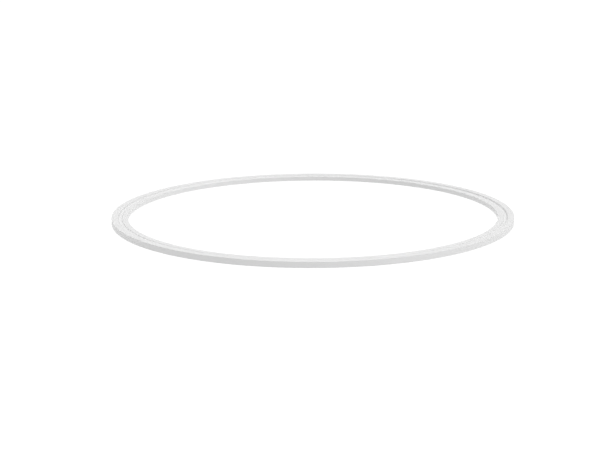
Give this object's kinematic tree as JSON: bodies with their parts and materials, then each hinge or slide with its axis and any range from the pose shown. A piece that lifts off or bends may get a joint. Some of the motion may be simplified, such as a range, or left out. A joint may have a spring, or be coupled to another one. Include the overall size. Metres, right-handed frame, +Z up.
{
  "type": "rhythmic gymnastics hoop",
  "caption": "Flat-profile gymnastics hoop: a hollow white plastic band bent to a ring, with raised lips and a groove on both faces, joined by an inner plug and pins.",
  "frame": {"origin": "centre of the ring, on the surface that the hoop lies on", "axes": "+Z up, along the ring's axis; +X towards the seam where the tube's two ends meet; +Y completes the right-handed set"},
  "size_m": [0.9, 0.9, 0.013],
  "materials": {
    "hoop_plastic": "satin white extruded plastic",
    "plug_plastic": "plain moulded plastic, not painted",
    "pin_plastic": "natural nylon"
  },
  "bodies": {
    "root": {"hoop_tube": "hoop_plastic", "joint_plug": "plug_plastic", "joint_pins": "pin_plastic"}
  },
  "joints": []
}
